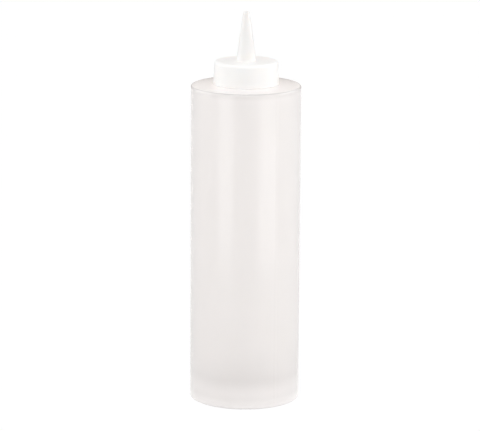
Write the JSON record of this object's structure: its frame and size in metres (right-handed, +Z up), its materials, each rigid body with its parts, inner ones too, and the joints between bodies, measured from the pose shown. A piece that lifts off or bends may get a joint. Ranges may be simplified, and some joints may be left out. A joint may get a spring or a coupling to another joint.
{
  "type": "condiment squeeze bottle",
  "caption": "Round translucent squeeze bottle with a flat shoulder, and a white screw cap drawn out into a straight pouring cone.",
  "frame": {"origin": "centre of the base, on the plane that the bottle stands on", "axes": "+Z up along the bottle's axis towards the cone's tip; -Y towards the picture's camera; +X to its right"},
  "size_m": [0.07, 0.07, 0.2494],
  "materials": {
    "bottle_plastic": "satin, translucent natural polyethylene",
    "seal_rubber": "matte",
    "cap_plastic": "satin, milky white polyethylene"
  },
  "bodies": {
    "bottle": {"bottle": "bottle_plastic"},
    "seal_ring": {"seal_ring": "seal_rubber"},
    "cap": {"cap": "cap_plastic"}
  },
  "joints": [
    {"name": "cap_rise", "type": "slide", "parent": "bottle", "child": "seal_ring", "axis": [0, 0, 1], "range_m": [0, 0.0128]},
    {"name": "cap_turn", "type": "hinge", "parent": "seal_ring", "child": "cap", "pos_m": [0, 0, 0.2155], "axis": [0, 0, 1], "range_deg": [0, 1080]}
  ],
  "couplings": [
    {"joint": "cap_rise", "follows": "cap_turn", "m_per_rad": 0.0006737}
  ]
}
